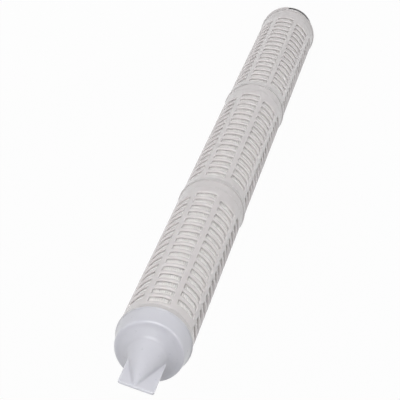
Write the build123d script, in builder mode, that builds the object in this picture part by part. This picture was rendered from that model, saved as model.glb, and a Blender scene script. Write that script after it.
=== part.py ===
from build123d import *
from math import cos, pi, radians, sin
import os

# Pleated membrane filter cartridge, about 30 inches long: three welded modules,
# a closed end cap with a locating fin on top and an O-ring spigot at the bottom.
# Millimetres. +Z runs along the axis towards the fin.
# The origin is the centre of the spigot's nose, which the cartridge stands on.

# Modules
module_count = 3
module_pitch = 250.0
body_radius = 34.0
weld_bead_step = 1.0
weld_bead_height = 1.2
weld_bead_round = 0.6
seat_clearance = 0.1

# Outer cage
cage_wall = 2.0
cage_plug_step = 1.0
cage_plug_height = 3.0
seam_gap = 0.3
window_columns = 8
window_width = 20.4
window_height = 8.5
window_pitch = 13.55
window_bottom_margin = 12.225
window_top_margin = 4.0
first_column_angle = 57.5

# Module end caps
cap_plate = 3.0
top_seat_rise = 0.5
bottom_seat_rise = 8.0
hub_collar_wall = 1.9
hub_collar_height = 4.0

# Inner core
core_radius = 16.5
core_wall = 2.0
core_columns = 4
core_end_margin = 13.0
core_slot_width = 9.0
core_slot_height = 12.0
core_slot_corner = 3.0
core_slot_pitch = 18.0

# Pleated membrane
media_thickness = 0.4
pleat_clearance = 0.2
pleat_root_room = 0.12
pleat_crest_gap = 0.4

# Fin end cap
fin_cap_wall = 3.0
rim_inset = 2.7
rim_height = 18.5
rim_round = 1.0
rim_ledge = 4.6
dome_foot_rise = 1.5
dome_rise = 5.4
dome_bulge = 0.6
cone_radius = 18.5
cone_tip_radius = 0.9
cone_tip_wall = 11.5
fin_height = 73.5
fin_width = 32.4
fin_thickness = 2.5
fin_offset = -1.9
fin_corner_radius = 2.5

# Spigot
barrel_radius = 29.0
nose_chamfer_radial = 2.2
nose_chamfer_axial = 2.4
neck_step = 1.0
neck_length = 5.4
lug_radius = 34.5
lug_height = 4.0
lug_span = 60.0
lug_angle = 316.0
o_ring_section = 4.0
o_ring_stand = 0.2
o_ring_floor_clearance = 0.05
groove_side_room = 0.5
groove_pitch = 7.0
lower_groove_height = 5.4
upper_land = 0.5

# Support ring in the spigot
outlet_radius = 18.5
joint_plate = 4.0
support_ring_wall = 1.5
support_ring_recess = 0.4
support_ring_clearance = 0.05

# Module, worked out from the sizes above
weld_bead_radius = body_radius + weld_bead_step
cage_inner_radius = body_radius - cage_wall
plug_radius = body_radius - cage_plug_step
socket_radius = plug_radius + seat_clearance
core_inner_radius = core_radius - core_wall
collar_radius = core_inner_radius - seat_clearance
hub_hole_radius = collar_radius - hub_collar_wall
pack_outer_radius = cage_inner_radius - pleat_clearance
pack_inner_radius = core_radius + pleat_clearance
pack_length = module_pitch - 2 * cap_plate
core_rows = int((pack_length - 2 * core_end_margin) / core_slot_pitch)

# Cage ends and windows
cage_bottom = cap_plate + bottom_seat_rise
bottom_skirt = cage_bottom + cage_plug_height
top_skirt = cap_plate + top_seat_rise + cage_plug_height
cage_top = module_pitch - cap_plate - top_seat_rise
cage_face_bottom = bottom_skirt + seam_gap
cage_face_top = module_pitch - top_skirt - seam_gap
window_room = cage_face_top - window_top_margin - cage_face_bottom - window_bottom_margin
long_column_rows = 1 + int((window_room - window_height) / window_pitch)
first_window_height = cage_face_bottom + window_bottom_margin + window_height / 2
window_field_height = first_window_height + window_pitch * (long_column_rows - 1) / 2

# Pleats, as many as the core's girth has room for
pleat_count = int(pi * pack_inner_radius / (media_thickness + pleat_root_room))
root_half_gap = (pi * pack_inner_radius / pleat_count - media_thickness) / 2
crest_half_width = pi * pack_outer_radius / pleat_count - pleat_crest_gap / 2

# Fin end cap profile
rim_radius = body_radius - rim_inset
dome_foot_radius = rim_radius - rim_ledge
dome_foot_height = rim_height + dome_foot_rise
cone_foot_height = dome_foot_height + dome_rise
cone_bore_tip_height = fin_height - cone_tip_wall

# Spigot profile, stacked up from the nose
neck_radius = barrel_radius + neck_step
o_ring_radius = o_ring_section / 2
o_ring_outer_radius = barrel_radius + o_ring_stand
groove_floor_radius = o_ring_outer_radius - o_ring_section - o_ring_floor_clearance
groove_width = o_ring_section + 2 * groove_side_room
groove_heights = [lower_groove_height + groove_pitch * groove for groove in range(2)]
lug_low_height = groove_heights[-1] + groove_width / 2 + upper_land
spigot_length = lug_low_height + lug_height + neck_length + weld_bead_height
ring_seat_radius = outlet_radius + support_ring_wall + support_ring_clearance
ring_seat_depth = spigot_length - joint_plate
support_ring_length = ring_seat_depth - support_ring_recess

os.makedirs("parts", exist_ok=True)


def save(part, name):
    part.label = name
    export_step(part, f"parts/{name}.step")


def radial_plane(angle):
    """A plane through the axis, facing outwards at this angle, with its y along +Z."""
    turn = radians(angle)
    return Plane(origin=(0, 0, 0), x_dir=(-sin(turn), cos(turn), 0), z_dir=(cos(turn), sin(turn), 0))


def column_heights(middle, rows, pitch):
    return [middle + pitch * (row - (rows - 1) / 2) for row in range(rows)]


def placed(solid, height, upside_down=False):
    turn = 180 if upside_down else 0
    with BuildPart() as copy:
        with Locations(Location((0, 0, height), (turn, 0, 0))):
            add(solid)
    return copy.part


# Outer cage: a tube with columns of windows, each column half a pitch from the next
with BuildPart() as cage:
    with BuildSketch(Plane.XZ):
        with BuildLine():
            Polyline(
                (cage_inner_radius, cage_bottom),
                (plug_radius, cage_bottom),
                (plug_radius, cage_face_bottom),
                (body_radius, cage_face_bottom),
                (body_radius, cage_face_top),
                (plug_radius, cage_face_top),
                (plug_radius, cage_top),
                (cage_inner_radius, cage_top),
                close=True,
            )
        make_face()
    revolve(axis=Axis.Z)
    for column in range(window_columns):
        rows = long_column_rows - 1 + column % 2
        heights = column_heights(window_field_height, rows, window_pitch)
        with BuildSketch(radial_plane(first_column_angle + 360 * column / window_columns)):
            with Locations(*[(0, height) for height in heights]):
                Rectangle(window_width, window_height)
        extrude(amount=weld_bead_radius, mode=Mode.SUBTRACT)

# Inner core: a slotted tube that the filtered liquid runs down
with BuildPart() as core:
    with BuildSketch(Plane.XY.offset(cap_plate)):
        Circle(core_radius)
        Circle(core_inner_radius, mode=Mode.SUBTRACT)
    extrude(amount=pack_length)
    heights = column_heights(module_pitch / 2, core_rows, core_slot_pitch)
    for column in range(core_columns):
        with BuildSketch(radial_plane(360 * column / core_columns)):
            with Locations(*[(0, height) for height in heights]):
                RectangleRounded(core_slot_width, core_slot_height, core_slot_corner)
        extrude(amount=body_radius, mode=Mode.SUBTRACT)


def pleat_outline(crest_radius, crest_half_width, root_radius, root_half_width):
    """The folded line round the axis: a flat crest and a flat root for each pleat."""
    points = []
    for pleat in range(pleat_count):
        crest = 2 * pi * pleat / pleat_count
        root = crest + pi / pleat_count
        corners = (
            (crest_radius, crest - crest_half_width / crest_radius),
            (crest_radius, crest + crest_half_width / crest_radius),
            (root_radius, root - root_half_width / root_radius),
            (root_radius, root + root_half_width / root_radius),
        )
        points += [(radius * cos(angle), radius * sin(angle)) for radius, angle in corners]
    return points


# Pleated membrane: the media and its support layers, folded together as one sheet
with BuildPart() as membrane:
    with BuildSketch(Plane.XY.offset(cap_plate)):
        with BuildLine():
            Polyline(
                *pleat_outline(
                    pack_outer_radius,
                    crest_half_width,
                    pack_inner_radius + media_thickness,
                    root_half_gap,
                ),
                close=True,
            )
        make_face()
        with BuildLine():
            Polyline(
                *pleat_outline(
                    pack_outer_radius - media_thickness,
                    crest_half_width - media_thickness,
                    pack_inner_radius,
                    media_thickness + root_half_gap,
                ),
                close=True,
            )
        make_face(mode=Mode.SUBTRACT)
    extrude(amount=pack_length)


def module_cap(skirt):
    """An open end cap, joint face at z = 0: weld bead, skirt, cage socket and hub collar."""
    with BuildPart() as cap:
        with BuildSketch(Plane.XZ):
            with BuildLine():
                Polyline(
                    (hub_hole_radius, 0),
                    (weld_bead_radius, 0),
                    (weld_bead_radius, weld_bead_height),
                    (body_radius, weld_bead_height),
                    (body_radius, skirt),
                    (socket_radius, skirt),
                    (socket_radius, skirt - cage_plug_height),
                    (cage_inner_radius, skirt - cage_plug_height),
                    (cage_inner_radius, cap_plate),
                    (collar_radius, cap_plate),
                    (collar_radius, cap_plate + hub_collar_height),
                    (hub_hole_radius, cap_plate + hub_collar_height),
                    close=True,
                )
            make_face()
        revolve(axis=Axis.Z)
        bead_edges = cap.edges().filter_by(GeomType.CIRCLE).filter_by(
            lambda edge: edge.radius > body_radius and edge.center().Z > weld_bead_height / 2
        )
        fillet(bead_edges, weld_bead_round)
    return cap.part


bottom_cap = module_cap(bottom_skirt)
top_cap = module_cap(top_skirt)

# Fin end cap: a domed shell with a hollow cone and a flat blade that runs through it
with BuildPart() as fin_cap:
    with BuildSketch(Plane.XZ):
        with BuildLine():
            Polyline(
                (0, 0),
                (weld_bead_radius, 0),
                (weld_bead_radius, weld_bead_height),
                (body_radius, weld_bead_height),
                (rim_radius, rim_height),
                (dome_foot_radius, dome_foot_height),
            )
            dome = SagittaArc(
                (dome_foot_radius, dome_foot_height), (cone_radius, cone_foot_height), -dome_bulge
            )
            Polyline(dome @ 1, (cone_tip_radius, fin_height), (0, fin_height), (0, 0))
        outline = make_face()
        rim_corner = outline.vertices().sort_by_distance((rim_radius, 0, rim_height))[0]
        fillet(rim_corner, rim_round)
    revolve(axis=Axis.Z)
    with BuildSketch(Plane.XZ):
        with Locations((fin_offset, (rim_height + fin_height) / 2)):
            blade = Rectangle(fin_width, fin_height - rim_height)
        fillet(blade.vertices().group_by(Axis.Y)[-1], fin_corner_radius)
    extrude(amount=fin_thickness / 2, both=True)
    with BuildSketch(Plane.XZ):
        with BuildLine():
            Polyline(
                (0, 0),
                (body_radius - fin_cap_wall, 0),
                (rim_radius - fin_cap_wall, rim_height - fin_cap_wall),
                (dome_foot_radius - fin_cap_wall / 2, dome_foot_height - fin_cap_wall),
                (cone_radius - fin_cap_wall, cone_foot_height - fin_cap_wall),
                (0, cone_bore_tip_height),
                close=True,
            )
        make_face()
    revolve(axis=Axis.Z, mode=Mode.SUBTRACT)

# Spigot: joint plate, neck with two bayonet lugs, barrel with two O-ring grooves, and a seat for the ring
with BuildPart() as spigot:
    with BuildSketch(Plane.XZ):
        with BuildLine():
            Polyline(
                (ring_seat_radius, 0),
                (barrel_radius - nose_chamfer_radial, 0),
                (barrel_radius, nose_chamfer_axial),
                (barrel_radius, lug_low_height),
                (neck_radius, lug_low_height),
                (neck_radius, spigot_length - weld_bead_height),
                (weld_bead_radius, spigot_length - weld_bead_height),
                (weld_bead_radius, spigot_length),
                (outlet_radius, spigot_length),
                (outlet_radius, ring_seat_depth),
                (ring_seat_radius, ring_seat_depth),
                close=True,
            )
        make_face()
        for height in groove_heights:
            with Locations(((groove_floor_radius + body_radius) / 2, height)):
                Rectangle(body_radius - groove_floor_radius, groove_width, mode=Mode.SUBTRACT)
    revolve(axis=Axis.Z)
    with BuildSketch(Plane.XY.offset(lug_low_height)):
        for side in range(2):
            start = lug_angle - lug_span / 2 + 180 * side
            with BuildLine():
                rim = CenterArc((0, 0), lug_radius, start, lug_span)
                root = CenterArc((0, 0), barrel_radius - o_ring_radius, start, lug_span)
                Line(rim @ 0, root @ 0)
                Line(rim @ 1, root @ 1)
            make_face()
    extrude(amount=lug_height)

# Support ring: a metal sleeve that keeps the barrel round under the O-rings
with BuildPart() as support_ring:
    with BuildSketch(Plane.XY.offset(support_ring_recess)):
        Circle(outlet_radius + support_ring_wall)
        Circle(outlet_radius, mode=Mode.SUBTRACT)
    extrude(amount=support_ring_length)


def o_ring(height):
    """An O-ring at the size it is squeezed to in its groove."""
    with BuildPart() as ring:
        with BuildSketch(Plane.XZ):
            with Locations((o_ring_outer_radius - o_ring_radius, height)):
                Circle(o_ring_radius)
        revolve(axis=Axis.Z)
    return ring.part


save(spigot.part, "o_ring_spigot")
save(support_ring.part, "support_ring")
for height, place in zip(groove_heights, ("lower", "upper")):
    save(o_ring(height), f"{place}_o_ring")

for module in range(module_count):
    base = spigot_length + module * module_pitch
    number = module + 1
    save(placed(bottom_cap, base), f"bottom_cap_{number}")
    save(placed(cage.part, base), f"outer_cage_{number}")
    save(placed(membrane.part, base), f"pleated_membrane_{number}")
    save(placed(core.part, base), f"inner_core_{number}")
    save(placed(top_cap, base + module_pitch, upside_down=True), f"top_cap_{number}")

fin_cap_base = spigot_length + module_count * module_pitch
save(placed(fin_cap.part, fin_cap_base), "fin_end_cap")
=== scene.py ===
from math import cos, pi, radians, sin, tau

import bmesh
import bpy
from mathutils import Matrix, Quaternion, Vector
from mathutils.noise import noise


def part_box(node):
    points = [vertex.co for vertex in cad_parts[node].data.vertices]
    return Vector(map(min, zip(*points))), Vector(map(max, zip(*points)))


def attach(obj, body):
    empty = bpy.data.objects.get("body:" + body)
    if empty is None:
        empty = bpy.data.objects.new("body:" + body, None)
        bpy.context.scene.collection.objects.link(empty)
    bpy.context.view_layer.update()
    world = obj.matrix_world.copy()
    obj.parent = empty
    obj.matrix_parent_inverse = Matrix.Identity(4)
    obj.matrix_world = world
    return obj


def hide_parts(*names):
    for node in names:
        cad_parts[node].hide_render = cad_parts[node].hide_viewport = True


# Pleated membrane filter cartridge, standing on its spigot with the fin up.
# Outlines are in millimetres, with heights from the piece's own joint face.
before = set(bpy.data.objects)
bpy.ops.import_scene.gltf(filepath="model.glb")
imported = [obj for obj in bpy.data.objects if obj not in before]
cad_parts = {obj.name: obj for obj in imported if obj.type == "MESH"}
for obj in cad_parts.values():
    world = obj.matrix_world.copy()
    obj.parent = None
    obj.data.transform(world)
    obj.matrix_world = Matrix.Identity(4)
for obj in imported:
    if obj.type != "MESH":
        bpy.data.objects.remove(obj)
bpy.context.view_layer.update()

mm = 0.001
module_numbers = (1, 2, 3)


def box_mm(node):
    low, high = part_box(node)
    return low / mm, high / mm


# Sizes read from the frame
body_radius = box_mm("outer_cage_1")[1].x
bead_radius = box_mm("bottom_cap_1")[1].x
module_pitch = box_mm("bottom_cap_2")[0].z - box_mm("bottom_cap_1")[0].z
spigot_length = box_mm("o_ring_spigot")[1].z
fin_top = box_mm("fin_end_cap")[1].z - box_mm("fin_end_cap")[0].z
seal_radius = box_mm("upper_o_ring")[1].x
membrane_radius = box_mm("pleated_membrane_1")[1].x

# Cage
cage_wall = 2.0
plug_step = 1.0
shoulder_height = 3.3
shoulder_round = 0.4
window_columns = 8
window_width = 20.4
window_height = 8.5
window_pitch = 13.55
long_column_rows = 16
window_field_height = 132.4
first_column_angle = 57.5
window_corner = 1.0
outer_edge_round = 1.3
inner_edge_round = 0.3

# Pleats
pleat_count = 100
pleat_root_radius = 17.1
pleat_crest_gap = 0.4
pleat_levels = 10
media_thickness = 0.4

# Module caps
bead_height = 1.2
cap_plate = 3.0
hub_radius = 12.5
collar_radius = 14.4
collar_top = 7.0
top_skirt = 6.5
bottom_skirt = 14.0
socket_radius = 33.1
socket_depth = 3.0

# Fin end cap
rim_radius = 31.3
rim_height = 18.5
dome_foot_radius = 26.7
dome_foot_height = 20.0
cone_radius = 18.5
cone_foot_height = 25.4
cap_wall = 3.0
cone_tip_radius = 0.9
cone_bore_tip = 62.0
fin_width = 32.4
fin_thickness = 2.5
fin_offset = -1.9
fin_corner = 2.5

# Spigot
barrel_radius = 29.0
neck_radius = 30.0
groove_floor = 25.15
nose_chamfer_radial = 2.2
nose_chamfer_axial = 2.4
groove_width = 5.0
groove_heights = (5.4, 12.4)
o_ring_section = 4.0
ring_seat_radius = 20.05
ring_seat_depth = 22.0
outlet_radius = 18.5
lug_radius = 34.5
lug_low = 15.4
lug_high = 19.4
lug_angle = 316.0
lug_span = 60.0


class Number:
    """A shader value that can be used in arithmetic. Each operator adds one Math node."""

    def __init__(self, finish, socket):
        self.finish = finish
        self.socket = socket

    def math(self, operation, first, second):
        return self.finish.node("ShaderNodeMath", {"operation": operation}, {0: first, 1: second})

    def __add__(self, other):
        return self.math("ADD", self, other)

    def __radd__(self, other):
        return self.math("ADD", other, self)

    def __mul__(self, other):
        return self.math("MULTIPLY", self, other)

    def __rmul__(self, other):
        return self.math("MULTIPLY", other, self)


class Finish:
    """One material: its nodes, and the shader that they feed."""

    def __init__(self, name, **sockets):
        self.material = bpy.data.materials.new(name)
        self.material.use_nodes = True
        self.tree = self.material.node_tree
        self.tree.nodes.clear()
        self.output = self.tree.nodes.new("ShaderNodeOutputMaterial")
        self.shader = self.tree.nodes.new("ShaderNodeBsdfPrincipled")
        self.tree.links.new(self.shader.outputs["BSDF"], self.output.inputs["Surface"])
        for socket, value in sockets.items():
            self.feed(self.shader.inputs[socket.replace("_", " ")], value)

    def feed(self, socket, value):
        if isinstance(value, Number):
            self.tree.links.new(value.socket, socket)
        elif isinstance(value, bpy.types.NodeSocket):
            self.tree.links.new(value, socket)
        else:
            socket.default_value = value

    def node(self, kind, settings=None, inputs=None, output=0):
        made = self.tree.nodes.new(kind)
        for setting, value in (settings or {}).items():
            setattr(made, setting, value)
        for socket, value in (inputs or {}).items():
            self.feed(made.inputs[socket], value)
        return Number(self, made.outputs[output])

    def place(self):
        """The point on the piece, in metres in the cartridge's frame."""
        return self.node("ShaderNodeTexCoord", output="Object")

    def stretched(self, across, along):
        scale = (across, across, along)
        return self.node("ShaderNodeMapping", inputs={"Vector": self.place(), "Scale": scale})

    def clouds(self, size, detail=2.0, vector=None):
        """Soft noise from 0 to 1, with blotches of about this size in metres."""
        return self.node(
            "ShaderNodeTexNoise",
            inputs={"Vector": vector or self.place(), "Scale": 1 / size, "Detail": detail},
        )

    def blend_colours(self, factor, first, second):
        return self.node(
            "ShaderNodeMix", {"data_type": "RGBA"}, {"Factor": factor, 6: first, 7: second}, output=2
        )

    def bump(self, height, distance, strength=1.0):
        sockets = {"Height": height, "Distance": distance, "Strength": strength}
        self.feed(self.shader.inputs["Normal"], self.node("ShaderNodeBump", inputs=sockets))

    def colour(self, value):
        self.feed(self.shader.inputs["Base Color"], value)

    def roughness(self, value):
        self.feed(self.shader.inputs["Roughness"], value)


def moulded_plastic(name, pale, shaded, roughness):
    """Milky polypropylene: faint clouds from the moulding flow and a slightly wavy gloss."""
    finish = Finish(
        name,
        Subsurface_Weight=1.0,
        Subsurface_Radius=(0.005, 0.005, 0.005),
        Subsurface_Scale=1.0,
        Specular_IOR_Level=0.5,
        IOR=1.49,
        Coat_Weight=0.3,
        Coat_Roughness=0.15,
    )
    flow = finish.clouds(0.030, 3.0)
    finish.colour(finish.blend_colours(flow, shaded, pale))
    finish.roughness(roughness + 0.08 * finish.clouds(0.004))
    finish.bump(finish.clouds(0.006, 3.0), 0.00012)
    return finish


def cage_plastic():
    return moulded_plastic("cage_plastic", (0.57, 0.54, 0.54, 1), (0.53, 0.505, 0.505, 1), 0.20).material


def cap_plastic():
    return moulded_plastic("cap_plastic", (0.57, 0.54, 0.54, 1), (0.53, 0.505, 0.505, 1), 0.22).material


def fin_cap_plastic():
    """The closed end's plastic, a little cooler than the cages, with no media behind it."""
    return moulded_plastic("fin_cap_plastic", (0.57, 0.57, 0.61, 1), (0.52, 0.52, 0.56, 1), 0.25).material


def pleated_media():
    finish = Finish(
        "pleated_media",
        Subsurface_Weight=0.8,
        Subsurface_Radius=(0.002, 0.002, 0.002),
        Subsurface_Scale=1.0,
        Sheen_Weight=0.2,
    )
    weave = finish.clouds(0.0006, 2.0)
    blotches = finish.clouds(0.035, 2.0)
    finish.colour(finish.blend_colours(blotches, (0.80, 0.77, 0.75, 1), (0.88, 0.85, 0.83, 1)))
    finish.roughness(0.75 + 0.2 * weave)
    finish.bump(weave, 0.0001)
    return finish.material


def seal_rubber():
    finish = Finish("seal_rubber")
    dust = finish.clouds(0.003, 4.0)
    finish.colour(finish.blend_colours(dust, (0.008, 0.008, 0.009, 1), (0.02, 0.02, 0.022, 1)))
    finish.roughness(0.30 + 0.2 * dust)
    finish.bump(dust, 0.00005)
    return finish.material


def turned_steel():
    finish = Finish("turned_steel", Metallic=1.0)
    rings = finish.clouds(0.0008, 2.0, finish.stretched(0.02, 1.0))
    finish.colour(finish.blend_colours(rings, (0.55, 0.55, 0.56, 1), (0.68, 0.68, 0.69, 1)))
    finish.roughness(0.25 + 0.15 * rings)
    finish.bump(rings, 0.00003)
    return finish.material


def finished(name, shape, material, node, sharp=40.0):
    """Makes the piece from its bmesh in millimetres, and stands it for its node."""
    bmesh.ops.scale(shape, vec=(mm, mm, mm), verts=shape.verts)
    bmesh.ops.recalc_face_normals(shape, faces=shape.faces)
    mesh = bpy.data.meshes.new(name)
    shape.to_mesh(mesh)
    shape.free()
    mesh.polygons.foreach_set("use_smooth", [True] * len(mesh.polygons))
    mesh.set_sharp_from_angle(angle=radians(sharp))
    mesh.materials.append(material)
    piece = bpy.data.objects.new(name, mesh)
    bpy.context.scene.collection.objects.link(piece)
    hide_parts(node)
    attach(piece, "root")
    return piece


def spun(outline, steps=160):
    """A closed outline of (radius, height, rounding) corners, spun about the axis."""
    shape = bmesh.new()
    corners = [shape.verts.new((radius, 0, height)) for radius, height, rounding in outline]
    for here, there in zip(corners, corners[1:] + corners[:1]):
        shape.edges.new((here, there))
    for corner, (radius, height, rounding) in zip(corners, outline):
        if rounding:
            bmesh.ops.bevel(
                shape, geom=[corner], offset=rounding, segments=4, profile=0.5, affect="VERTICES", material=-1
            )
    bmesh.ops.spin(
        shape,
        geom=shape.verts[:] + shape.edges[:],
        cent=(0, 0, 0),
        axis=(0, 0, 1),
        angle=tau,
        steps=steps,
        use_merge=True,
    )
    return shape


def raised(shape, height):
    bmesh.ops.translate(shape, vec=(0, 0, height), verts=shape.verts)
    return shape


def window_rows(column):
    rows = long_column_rows - 1 + column % 2
    return [window_field_height + window_pitch * (row - (rows - 1) / 2) for row in range(rows)]


def cage_lines():
    """The angles and heights where the flat sheet of the cage is divided."""
    half_window = window_width / body_radius / 2
    column_angle = tau / window_columns
    angles = []
    for column in range(window_columns):
        middle = column * column_angle
        angles += [middle + half_window * step / 3 for step in range(-3, 4)]
        angles.append(middle + column_angle / 2)
    angles = [angles[0] - (column_angle - 2 * half_window) / 2] + angles
    heights = set()
    for column in (0, 1):
        for row in window_rows(column):
            heights |= {round(row - window_height / 2, 4), round(row + window_height / 2, 4)}
    return angles, sorted(heights)


def cage_shape(length):
    """A flat sheet with its windows cut, thickened, rounded at its edges and rolled into a tube."""
    angles, rows = cage_lines()
    base = bottom_skirt - socket_depth
    shoulder = base + shoulder_height
    ends = [base, shoulder - 0.05, shoulder, shoulder + shoulder_round]
    heights = ends + rows + [2 * (base + length / 2) - end for end in reversed(ends)]
    shape = bmesh.new()
    across, up = len(angles) - 1, len(heights) - 1
    bmesh.ops.create_grid(shape, x_segments=across, y_segments=up, size=1)
    for vert in shape.verts:
        column = round((vert.co.x + 1) / 2 * across)
        row = round((vert.co.y + 1) / 2 * up)
        vert.co = (angles[column] * body_radius, heights[row], 0)
    half_width = window_width / 2
    column_width = tau / window_columns * body_radius
    windows = []
    for face in shape.faces:
        middle = face.calc_center_median()
        column = round(middle.x / column_width)
        inside = abs(middle.x - column * column_width) < half_width
        if inside and any(abs(middle.y - row) < window_height / 2 for row in window_rows(column)):
            windows.append(face)
    bmesh.ops.delete(shape, geom=windows, context="FACES")
    bmesh.ops.recalc_face_normals(shape, faces=shape.faces)
    bmesh.ops.solidify(shape, geom=shape.faces[:], thickness=-cage_wall)
    low_x, high_x = angles[0] * body_radius, angles[-1] * body_radius
    seam = [
        face
        for face in shape.faces
        if all(abs(vert.co.x - low_x) < 1e-4 for vert in face.verts)
        or all(abs(vert.co.x - high_x) < 1e-4 for vert in face.verts)
    ]
    bmesh.ops.delete(shape, geom=seam, context="FACES_ONLY")
    inner = min(vert.co.z for vert in shape.verts), max(vert.co.z for vert in shape.verts)

    def is_window_rim(edge):
        if len(edge.link_faces) != 2 or edge.calc_face_angle() < radians(60):
            return False
        return all(heights[3] < vert.co.y < heights[-4] for vert in edge.verts)

    posts = [
        edge
        for edge in shape.edges
        if is_window_rim(edge) and abs(edge.verts[0].co.z - edge.verts[1].co.z) > cage_wall / 2
    ]
    bmesh.ops.bevel(
        shape, geom=posts, offset=window_corner, segments=3, profile=0.5, affect="EDGES", material=-1
    )
    outer_z = max(inner) if abs(max(inner)) < abs(min(inner)) else min(inner)
    for outside, rounding, segments in ((True, outer_edge_round, 4), (False, inner_edge_round, 1)):
        rims = [
            edge
            for edge in shape.edges
            if is_window_rim(edge)
            and all((abs(vert.co.z - outer_z) < cage_wall / 2) == outside for vert in edge.verts)
        ]
        bmesh.ops.bevel(
            shape, geom=rims, offset=rounding, segments=segments, profile=0.5, affect="EDGES", material=-1
        )
    for vert in shape.verts:
        depth = abs(vert.co.z - outer_z)
        radius = body_radius - depth
        beyond = min(vert.co.y - heights[2], heights[-3] - vert.co.y)
        if depth < cage_wall / 2 and beyond < -1e-4:
            radius -= plug_step
        elif depth < cage_wall / 2 and beyond < 1e-4:
            radius -= shoulder_round
        angle = vert.co.x / body_radius + radians(first_column_angle)
        vert.co = (radius * cos(angle), radius * sin(angle), vert.co.y)
    bmesh.ops.remove_doubles(shape, verts=shape.verts, dist=0.001)
    return shape


def pleat_shape(length, seed):
    """The folded sheet: one rounded fold, repeated round the axis and drawn up the module."""
    half_pitch = pi / pleat_count
    crest = membrane_radius
    root = pleat_root_radius
    crest_half = crest * half_pitch - pleat_crest_gap / 2
    root_half = ((root - media_thickness) * half_pitch - media_thickness) / 2
    root_round = 0.8 * root_half
    fold = [
        (root, -half_pitch, 0),
        (root, -half_pitch + root_half / root, root_round),
        (crest, -crest_half / crest, 0.55),
        (crest, crest_half / crest, 0.55),
        (root, half_pitch - root_half / root, root_round),
        (root, half_pitch, 0),
    ]
    shape = bmesh.new()
    corners = [shape.verts.new((radius * cos(angle), radius * sin(angle), 0)) for radius, angle, _ in fold]
    for here, there in zip(corners, corners[1:]):
        shape.edges.new((here, there))
    for corner, (_, _, rounding) in zip(corners, fold):
        if rounding:
            bmesh.ops.bevel(
                shape, geom=[corner], offset=rounding, segments=3, profile=0.5, affect="VERTICES", material=-1
            )
    bmesh.ops.spin(
        shape,
        geom=shape.verts[:] + shape.edges[:],
        cent=(0, 0, 0),
        axis=(0, 0, 1),
        angle=tau - tau / pleat_count,
        steps=pleat_count - 1,
        use_duplicate=True,
    )
    bmesh.ops.remove_doubles(shape, verts=shape.verts, dist=0.001)
    edges = shape.edges[:]
    for level in range(pleat_levels):
        drawn = bmesh.ops.extrude_edge_only(shape, edges=edges)["geom"]
        top = [item for item in drawn if isinstance(item, bmesh.types.BMVert)]
        bmesh.ops.translate(shape, vec=(0, 0, length / pleat_levels), verts=top)
        ring = set(top)
        edges = [
            item
            for item in drawn
            if isinstance(item, bmesh.types.BMEdge) and ring.issuperset(item.verts)
        ]
    for vert in shape.verts:
        spot = Vector((vert.co.x, vert.co.y, vert.co.z * 0.25 + seed * 90))
        outness = (vert.co.xy.length - root) / (crest - root)
        sway = noise(spot * 0.35) * 0.009 * outness
        slack = max(0, 0.5 + noise(spot * 0.3 + Vector((40, 0, 0)))) * 0.15 * outness
        turned = vert.co.xy * (1 - slack / crest)
        vert.co.x = turned.x * cos(sway) - turned.y * sin(sway)
        vert.co.y = turned.x * sin(sway) + turned.y * cos(sway)
    bmesh.ops.recalc_face_normals(shape, faces=shape.faces)
    bmesh.ops.solidify(shape, geom=shape.faces[:], thickness=media_thickness)
    return shape


def cap_outline(skirt):
    return [
        (hub_radius, 0, 0.3),
        (bead_radius, 0, 0),
        (bead_radius, bead_height, 0.7),
        (body_radius, bead_height, 0.15),
        (body_radius, skirt, 0.4),
        (socket_radius, skirt, 0),
        (socket_radius, skirt - socket_depth, 0),
        (body_radius - cage_wall, skirt - socket_depth, 0),
        (body_radius - cage_wall, cap_plate, 0),
        (collar_radius, cap_plate, 0),
        (collar_radius, collar_top, 0.4),
        (hub_radius, collar_top, 0.4),
    ]


def fin_cap_shape():
    """The domed shell with its hollow cone, spun about the axis."""
    outline = [
        (0, fin_top, 0),
        (cone_tip_radius, fin_top, 0.3),
        (cone_radius, cone_foot_height, 2.0),
        (dome_foot_radius, dome_foot_height, 1.5),
        (rim_radius, rim_height, 1.2),
        (body_radius, bead_height, 0.2),
        (bead_radius, bead_height, 0.6),
        (bead_radius, 0, 0),
        (body_radius - cap_wall, 0, 0),
        (rim_radius - cap_wall, rim_height - cap_wall, 1.0),
        (dome_foot_radius - cap_wall / 2, dome_foot_height - cap_wall, 0),
        (cone_radius - cap_wall, cone_foot_height - cap_wall, 0),
        (0, cone_bore_tip, 0),
    ]
    shape = bmesh.new()
    corners = [shape.verts.new((radius, 0, height)) for radius, height, rounding in outline]
    for here, there in zip(corners, corners[1:]):
        shape.edges.new((here, there))
    for corner, (radius, height, rounding) in zip(corners, outline):
        if rounding:
            bmesh.ops.bevel(
                shape, geom=[corner], offset=rounding, segments=4, profile=0.5, affect="VERTICES", material=-1
            )
    bmesh.ops.spin(
        shape,
        geom=shape.verts[:] + shape.edges[:],
        cent=(0, 0, 0),
        axis=(0, 0, 1),
        angle=tau,
        steps=128,
        use_merge=True,
    )
    bmesh.ops.remove_doubles(shape, verts=shape.verts, dist=0.001)
    bmesh.ops.recalc_face_normals(shape, faces=shape.faces)
    return shape


def blade_shape():
    shape = bmesh.new()
    bmesh.ops.create_cube(shape, size=1)
    bottom = rim_height + 2
    for vert in shape.verts:
        vert.co = (
            fin_offset + fin_width * vert.co.x,
            fin_thickness * vert.co.y,
            (bottom + fin_top) / 2 + (fin_top - bottom) * vert.co.z,
        )
    corners = [
        edge
        for edge in shape.edges
        if all(vert.co.z > fin_top - 1 for vert in edge.verts)
        and abs(edge.verts[0].co.y - edge.verts[1].co.y) > fin_thickness / 2
    ]
    bmesh.ops.bevel(
        shape, geom=corners, offset=fin_corner, segments=6, profile=0.5, affect="EDGES", material=-1
    )
    return shape


def as_object(name, shape):
    mesh = bpy.data.meshes.new(name)
    shape.to_mesh(mesh)
    shape.free()
    made = bpy.data.objects.new(name, mesh)
    bpy.context.scene.collection.objects.link(made)
    return made


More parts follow.
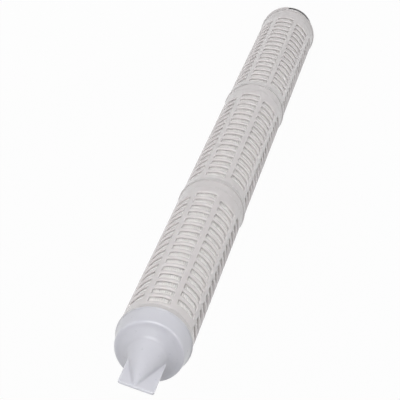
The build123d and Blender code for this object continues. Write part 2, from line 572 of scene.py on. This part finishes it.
def fused(base, added, voxel, smoothing):
    """Both shapes as one moulded skin, with its corners softly filled."""
    body = as_object("fusing_body", base)
    extra = as_object("fusing_extra", added)
    joined = bmesh.new()
    joined.from_mesh(body.data)
    joined.from_mesh(extra.data)
    joined.to_mesh(body.data)
    joined.free()
    remesh = body.modifiers.new("skin", "REMESH")
    remesh.mode = "VOXEL"
    remesh.voxel_size = voxel
    smooth = body.modifiers.new("soften", "SMOOTH")
    smooth.factor = 0.5
    smooth.iterations = smoothing
    bpy.context.view_layer.update()
    evaluated = body.evaluated_get(bpy.context.evaluated_depsgraph_get())
    made = bmesh.new()
    made.from_mesh(evaluated.to_mesh())
    for spare in (body, extra):
        bpy.data.objects.remove(spare)
    return made


def spigot_outline():
    outline = [
        (outlet_radius, spigot_length, 0),
        (outlet_radius, ring_seat_depth, 0),
        (ring_seat_radius, ring_seat_depth, 0),
        (ring_seat_radius, 0, 0.3),
        (barrel_radius - nose_chamfer_radial, 0, 0.5),
        (barrel_radius, nose_chamfer_axial, 0.5),
    ]
    for height in groove_heights:
        low, high = height - groove_width / 2, height + groove_width / 2
        outline += [
            (barrel_radius, low, 0.25),
            (groove_floor, low, 0.3),
            (groove_floor, high, 0.3),
            (barrel_radius, high, 0.25),
        ]
    outline += [
        (barrel_radius, lug_low, 0),
        (neck_radius, lug_low, 0.3),
        (neck_radius, spigot_length - bead_height, 0.8),
        (bead_radius, spigot_length - bead_height, 0.5),
        (bead_radius, spigot_length, 0),
    ]
    return outline


def add_lugs(shape):
    """Two bayonet lugs: flat sectors that stand out of the barrel."""
    steps = 24
    for side in (0, 180):
        lug = bmesh.new()
        start = radians(lug_angle - lug_span / 2 + side)
        corners = [
            (barrel_radius - 1, lug_low, 0),
            (lug_radius, lug_low, 0.5),
            (lug_radius, lug_high, 0.5),
            (barrel_radius - 1, lug_high, 0),
        ]
        verts = [
            lug.verts.new((radius * cos(start), radius * sin(start), height)) for radius, height, _ in corners
        ]
        for here, there in zip(verts, verts[1:] + verts[:1]):
            lug.edges.new((here, there))
        for vert, (_, _, rounding) in zip(verts, corners):
            if rounding:
                bmesh.ops.bevel(
                    lug, geom=[vert], offset=rounding, segments=3, profile=0.5, affect="VERTICES", material=-1
                )
        end = bmesh.ops.contextual_create(lug, geom=lug.edges[:])["faces"]
        bmesh.ops.spin(
            lug,
            geom=end + lug.edges[:] + lug.verts[:],
            cent=(0, 0, 0),
            axis=(0, 0, 1),
            angle=radians(lug_span),
            steps=steps,
        )
        bmesh.ops.remove_doubles(lug, verts=lug.verts, dist=0.001)
        bmesh.ops.recalc_face_normals(lug, faces=lug.faces)
        mesh = bpy.data.meshes.new("lug")
        lug.to_mesh(mesh)
        lug.free()
        shape.from_mesh(mesh)
        bpy.data.meshes.remove(mesh)
    return shape


def ring_shape(height, section):
    """A torus-like seal: one circle spun about the axis."""
    shape = bmesh.new()
    bmesh.ops.create_circle(shape, segments=32, radius=section / 2, cap_ends=False)
    for vert in shape.verts:
        vert.co = (seal_radius - section / 2 + vert.co.x, 0, height + vert.co.y)
    bmesh.ops.spin(
        shape,
        geom=shape.verts[:] + shape.edges[:],
        cent=(0, 0, 0),
        axis=(0, 0, 1),
        angle=tau,
        steps=160,
        use_merge=True,
    )
    return shape


def build_modules(cage_finish, cap_finish, media_finish):
    for number in module_numbers:
        base = spigot_length + (number - 1) * module_pitch
        low, high = box_mm(f"outer_cage_{number}")
        cage = raised(cage_shape(high.z - low.z), base)
        finished(f"cage_shell_{number}", cage, cage_finish, f"outer_cage_{number}")
        low, high = box_mm(f"pleated_membrane_{number}")
        pleats = raised(pleat_shape(high.z - low.z, number), low.z)
        piece = finished(f"pleats_{number}", pleats, media_finish, f"pleated_membrane_{number}", 80.0)
        bottom = raised(spun(cap_outline(bottom_skirt)), base)
        piece = finished(f"lower_cap_{number}", bottom, cap_finish, f"bottom_cap_{number}")
        top = spun(cap_outline(top_skirt))
        bmesh.ops.scale(top, vec=(1, 1, -1), verts=top.verts)
        raised(top, base + module_pitch)
        piece = finished(f"upper_cap_{number}", top, cap_finish, f"top_cap_{number}")


def build_fin_cap(finish):
    low = box_mm("fin_end_cap")[0]
    shape = fused(fin_cap_shape(), blade_shape(), voxel=0.58, smoothing=2)
    piece = finished("fin_cap", raised(shape, low.z), finish, "fin_end_cap", 180.0)


def build_spigot(cap_finish, rubber, steel):
    spigot = add_lugs(spun(spigot_outline()))
    finished("spigot", spigot, cap_finish, "o_ring_spigot")
    for height, place in zip(groove_heights, ("lower", "upper")):
        piece = finished(f"{place}_seal", ring_shape(height, o_ring_section), rubber, f"{place}_o_ring")
    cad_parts["support_ring"].data.materials.clear()
    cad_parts["support_ring"].data.materials.append(steel)


def finish_cores(plastic):
    for number in module_numbers:
        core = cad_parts[f"inner_core_{number}"]
        core.data.materials.clear()
        core.data.materials.append(plastic)


# Camera, fitted to the weld rings: where it stands, what it looks at and how far it is rolled
camera_place = Vector((-0.0659, -0.7604, 1.8486))
camera_target = Vector((0.0141, -0.0012, 0.5170))
camera_roll = -155.54
camera_lens = 134.72


def build_camera():
    data = bpy.data.cameras.new("camera")
    data.lens = camera_lens
    data.sensor_width = 36
    camera = bpy.data.objects.new("camera", data)
    camera.location = camera_place
    camera.rotation_mode = "QUATERNION"
    aim = (camera_target - camera_place).to_track_quat("-Z", "Y")
    camera.rotation_quaternion = aim @ Quaternion((0, 0, 1), radians(camera_roll))
    bpy.context.scene.collection.objects.link(camera)
    bpy.context.scene.camera = camera


def lamp(name, place, target, size, power):
    data = bpy.data.lights.new(name, "AREA")
    data.shape = "RECTANGLE"
    data.size, data.size_y = size
    data.energy = power
    light = bpy.data.objects.new(name, data)
    light.location = place
    light.rotation_mode = "QUATERNION"
    light.rotation_quaternion = (Vector(target) - Vector(place)).to_track_quat("-Z", "Y")
    bpy.context.scene.collection.objects.link(light)


world_dim = 0.35
world_bright = 0.75


def build_lights():
    middle = (0, 0, 0.45)
    lamp("soft_key", (0.34, -1.95, 2.12), middle, (1.6, 1.6), 36)
    lamp("side_strip", (-1.95, -1.69, 1.77), middle, (0.10, 1.8), 14)
    world = bpy.data.worlds.new("studio")
    bpy.context.scene.world = world
    world.use_nodes = True
    nodes = world.node_tree.nodes
    facing = nodes.new("ShaderNodeTexCoord")
    split = nodes.new("ShaderNodeSeparateXYZ")
    fade = nodes.new("ShaderNodeMapRange")
    fade_ends = {"From Min": -0.8, "From Max": 0.3, "To Min": world_dim, "To Max": world_bright}
    for socket, value in fade_ends.items():
        fade.inputs[socket].default_value = value
    nodes["Background"].inputs["Color"].default_value = (1, 1, 1, 1)
    world.node_tree.links.new(facing.outputs["Generated"], split.inputs[0])
    world.node_tree.links.new(split.outputs["X"], fade.inputs["Value"])
    world.node_tree.links.new(fade.outputs["Result"], nodes["Background"].inputs["Strength"])


def build_floor():
    shape = bmesh.new()
    bmesh.ops.create_grid(shape, x_segments=1, y_segments=1, size=12)
    floor = as_object("floor", shape)
    finish = Finish("pale_floor", Roughness=0.9)
    finish.colour((0.6, 0.6, 0.6, 1))
    tree = finish.tree
    rays = tree.nodes.new("ShaderNodeLightPath")
    white = finish.node("ShaderNodeEmission", inputs={"Color": (1, 1, 1, 1), "Strength": 1.0})
    seen = Number(finish, rays.outputs["Is Camera Ray"]) + Number(finish, rays.outputs["Is Glossy Ray"])
    seen = seen + Number(finish, rays.outputs["Is Transmission Ray"])
    mixed = finish.node(
        "ShaderNodeMixShader", inputs={0: seen * 0.96, 1: finish.shader.outputs["BSDF"], 2: white}
    )
    finish.feed(finish.output.inputs["Surface"], mixed)
    floor.data.materials.append(finish.material)


bpy.context.scene.view_settings.view_transform = "Standard"
build_camera()
build_lights()
build_floor()
cage_finish = cage_plastic()
cap_finish = cap_plastic()
build_modules(cage_finish, cap_finish, pleated_media())
build_fin_cap(fin_cap_plastic())
build_spigot(cap_finish, seal_rubber(), turned_steel())
finish_cores(cap_finish)
